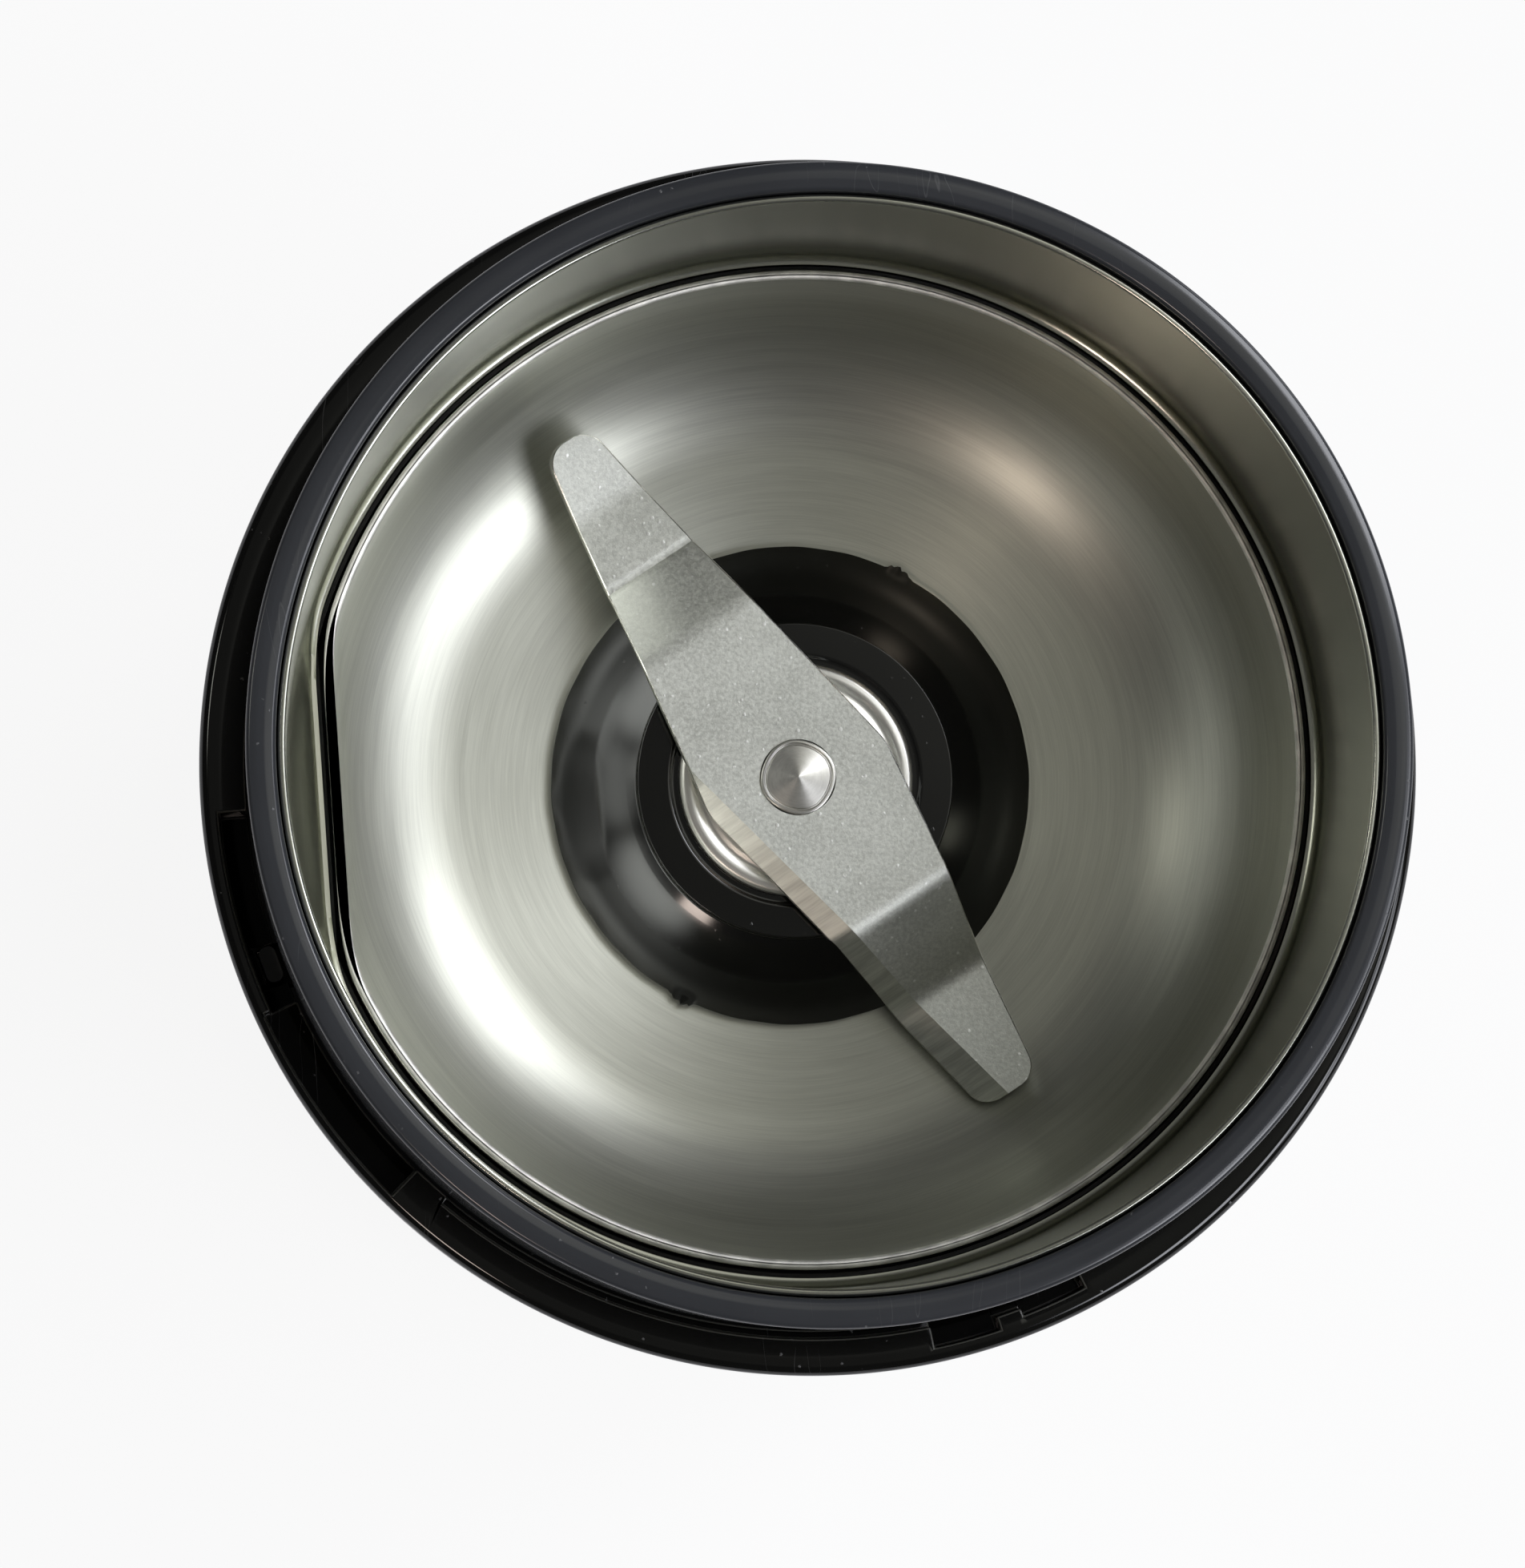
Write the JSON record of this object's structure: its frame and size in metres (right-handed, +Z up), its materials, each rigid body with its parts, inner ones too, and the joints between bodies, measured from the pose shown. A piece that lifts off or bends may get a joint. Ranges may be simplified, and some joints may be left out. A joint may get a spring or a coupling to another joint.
{
  "type": "electric spice grinder",
  "caption": "Electric spice grinder with a black housing, a steel-lined well, a drop-in steel bowl and a bent two-armed blade, lid off.",
  "frame": {"origin": "centre of the footprint, on the surface that the feet stand on", "axes": "+Z up along the motor and blade axis; -Y is the front and the cord inlet is at +Y"},
  "size_m": [0.095, 0.095, 0.1482],
  "materials": {
    "black_gloss": "glossy black moulded plastic",
    "rim_gloss": "glossy blue-black moulded plastic",
    "hub_gloss": "glossy black moulded plastic",
    "black_matte": "fine satin black plastic",
    "brushed_steel": "round-brushed stainless steel",
    "blasted_steel": "bead-blasted stainless steel with a ground edge",
    "polished_steel": "polished stainless steel",
    "zinc_steel": "zinc-plated steel",
    "lamination_steel": "stacked electrical steel",
    "copper_wire": "enamelled copper winding",
    "sintered_bronze": "oil-filled sintered bronze",
    "carbon": "pressed carbon",
    "rubber": "matt black rubber",
    "white_nylon": "natural nylon",
    "red_sleeve": "insulated lead"
  },
  "bodies": {
    "housing": {"rubber_feet": "rubber", "base_plate": "black_matte", "base_screws": "zinc_steel", "housing_shell": "black_gloss", "ledge_collar": "black_gloss", "rim_chamber": "rim_gloss", "well_sleeve": "brushed_steel", "bowl_seal": "rubber", "stator_core": "lamination_steel", "field_coils": "copper_wire", "motor_bracket": "zinc_steel", "brush_bracket": "black_matte", "upper_bearing": "sintered_bronze", "lower_bearing": "sintered_bronze", "motor_bolts": "zinc_steel", "carbon_brushes": "carbon", "brush_holders": "sintered_bronze", "brush_springs": "zinc_steel", "motor_mounts": "rubber", "mount_screws": "zinc_steel", "return_spring": "zinc_steel", "switch_holder": "black_matte", "microswitch": "black_matte", "cord_inlet": "rubber", "terminal_block": "white_nylon", "suppression_capacitor": "white_nylon", "thermal_fuse": "zinc_steel", "internal_leads": "red_sleeve"},
    "rotor": {"motor_shaft": "polished_steel", "motor_fan": "black_matte", "armature_core": "lamination_steel", "armature_winding": "copper_wire", "commutator": "copper_wire", "drive_coupling": "zinc_steel"},
    "bowl": {"grinding_bowl": "brushed_steel", "bowl_hub": "hub_gloss", "bowl_base": "black_matte", "bowl_screws": "zinc_steel", "blade_bush": "sintered_bronze", "blade_shaft_seal": "rubber"},
    "blade": {"blade_shaft": "polished_steel", "shaft_circlip": "zinc_steel", "thrust_washer": "white_nylon", "blade_washer": "polished_steel", "grinding_blade": "blasted_steel", "driven_coupling": "white_nylon"},
    "interlock": {"interlock_rod": "black_matte"},
    "lever": {"switch_lever": "zinc_steel"}
  },
  "joints": [
    {"name": "motor_spin", "type": "hinge", "parent": "housing", "child": "rotor", "pos_m": [0, 0, 0], "axis": [0, 0, -1], "continuous": true},
    {"name": "bowl_lift", "type": "slide", "parent": "housing", "child": "bowl", "axis": [0, 0, 1], "range_m": [0, 0.06]},
    {"name": "blade_spin", "type": "hinge", "parent": "bowl", "child": "blade", "pos_m": [0, 0, 0], "axis": [0, 0, -1], "continuous": true},
    {"name": "interlock_press", "type": "slide", "parent": "housing", "child": "interlock", "axis": [0, 0, -1], "range_m": [0, 0.003], "stiffness_N_per_m": 300, "springref_m": -0.002, "deforming": ["return_spring"]},
    {"name": "switch_turn", "type": "hinge", "parent": "housing", "child": "lever", "pos_m": [-0.03058, -0.02531, 0.0561], "axis": [-0.9367, -0.3502, 0], "range_deg": [0, 12.06]}
  ],
  "couplings": [
    {"joint": "blade_spin", "follows": "motor_spin", "ratio": 1},
    {"joint": "switch_turn", "follows": "interlock_press", "rad_per_m": 69.884}
  ]
}
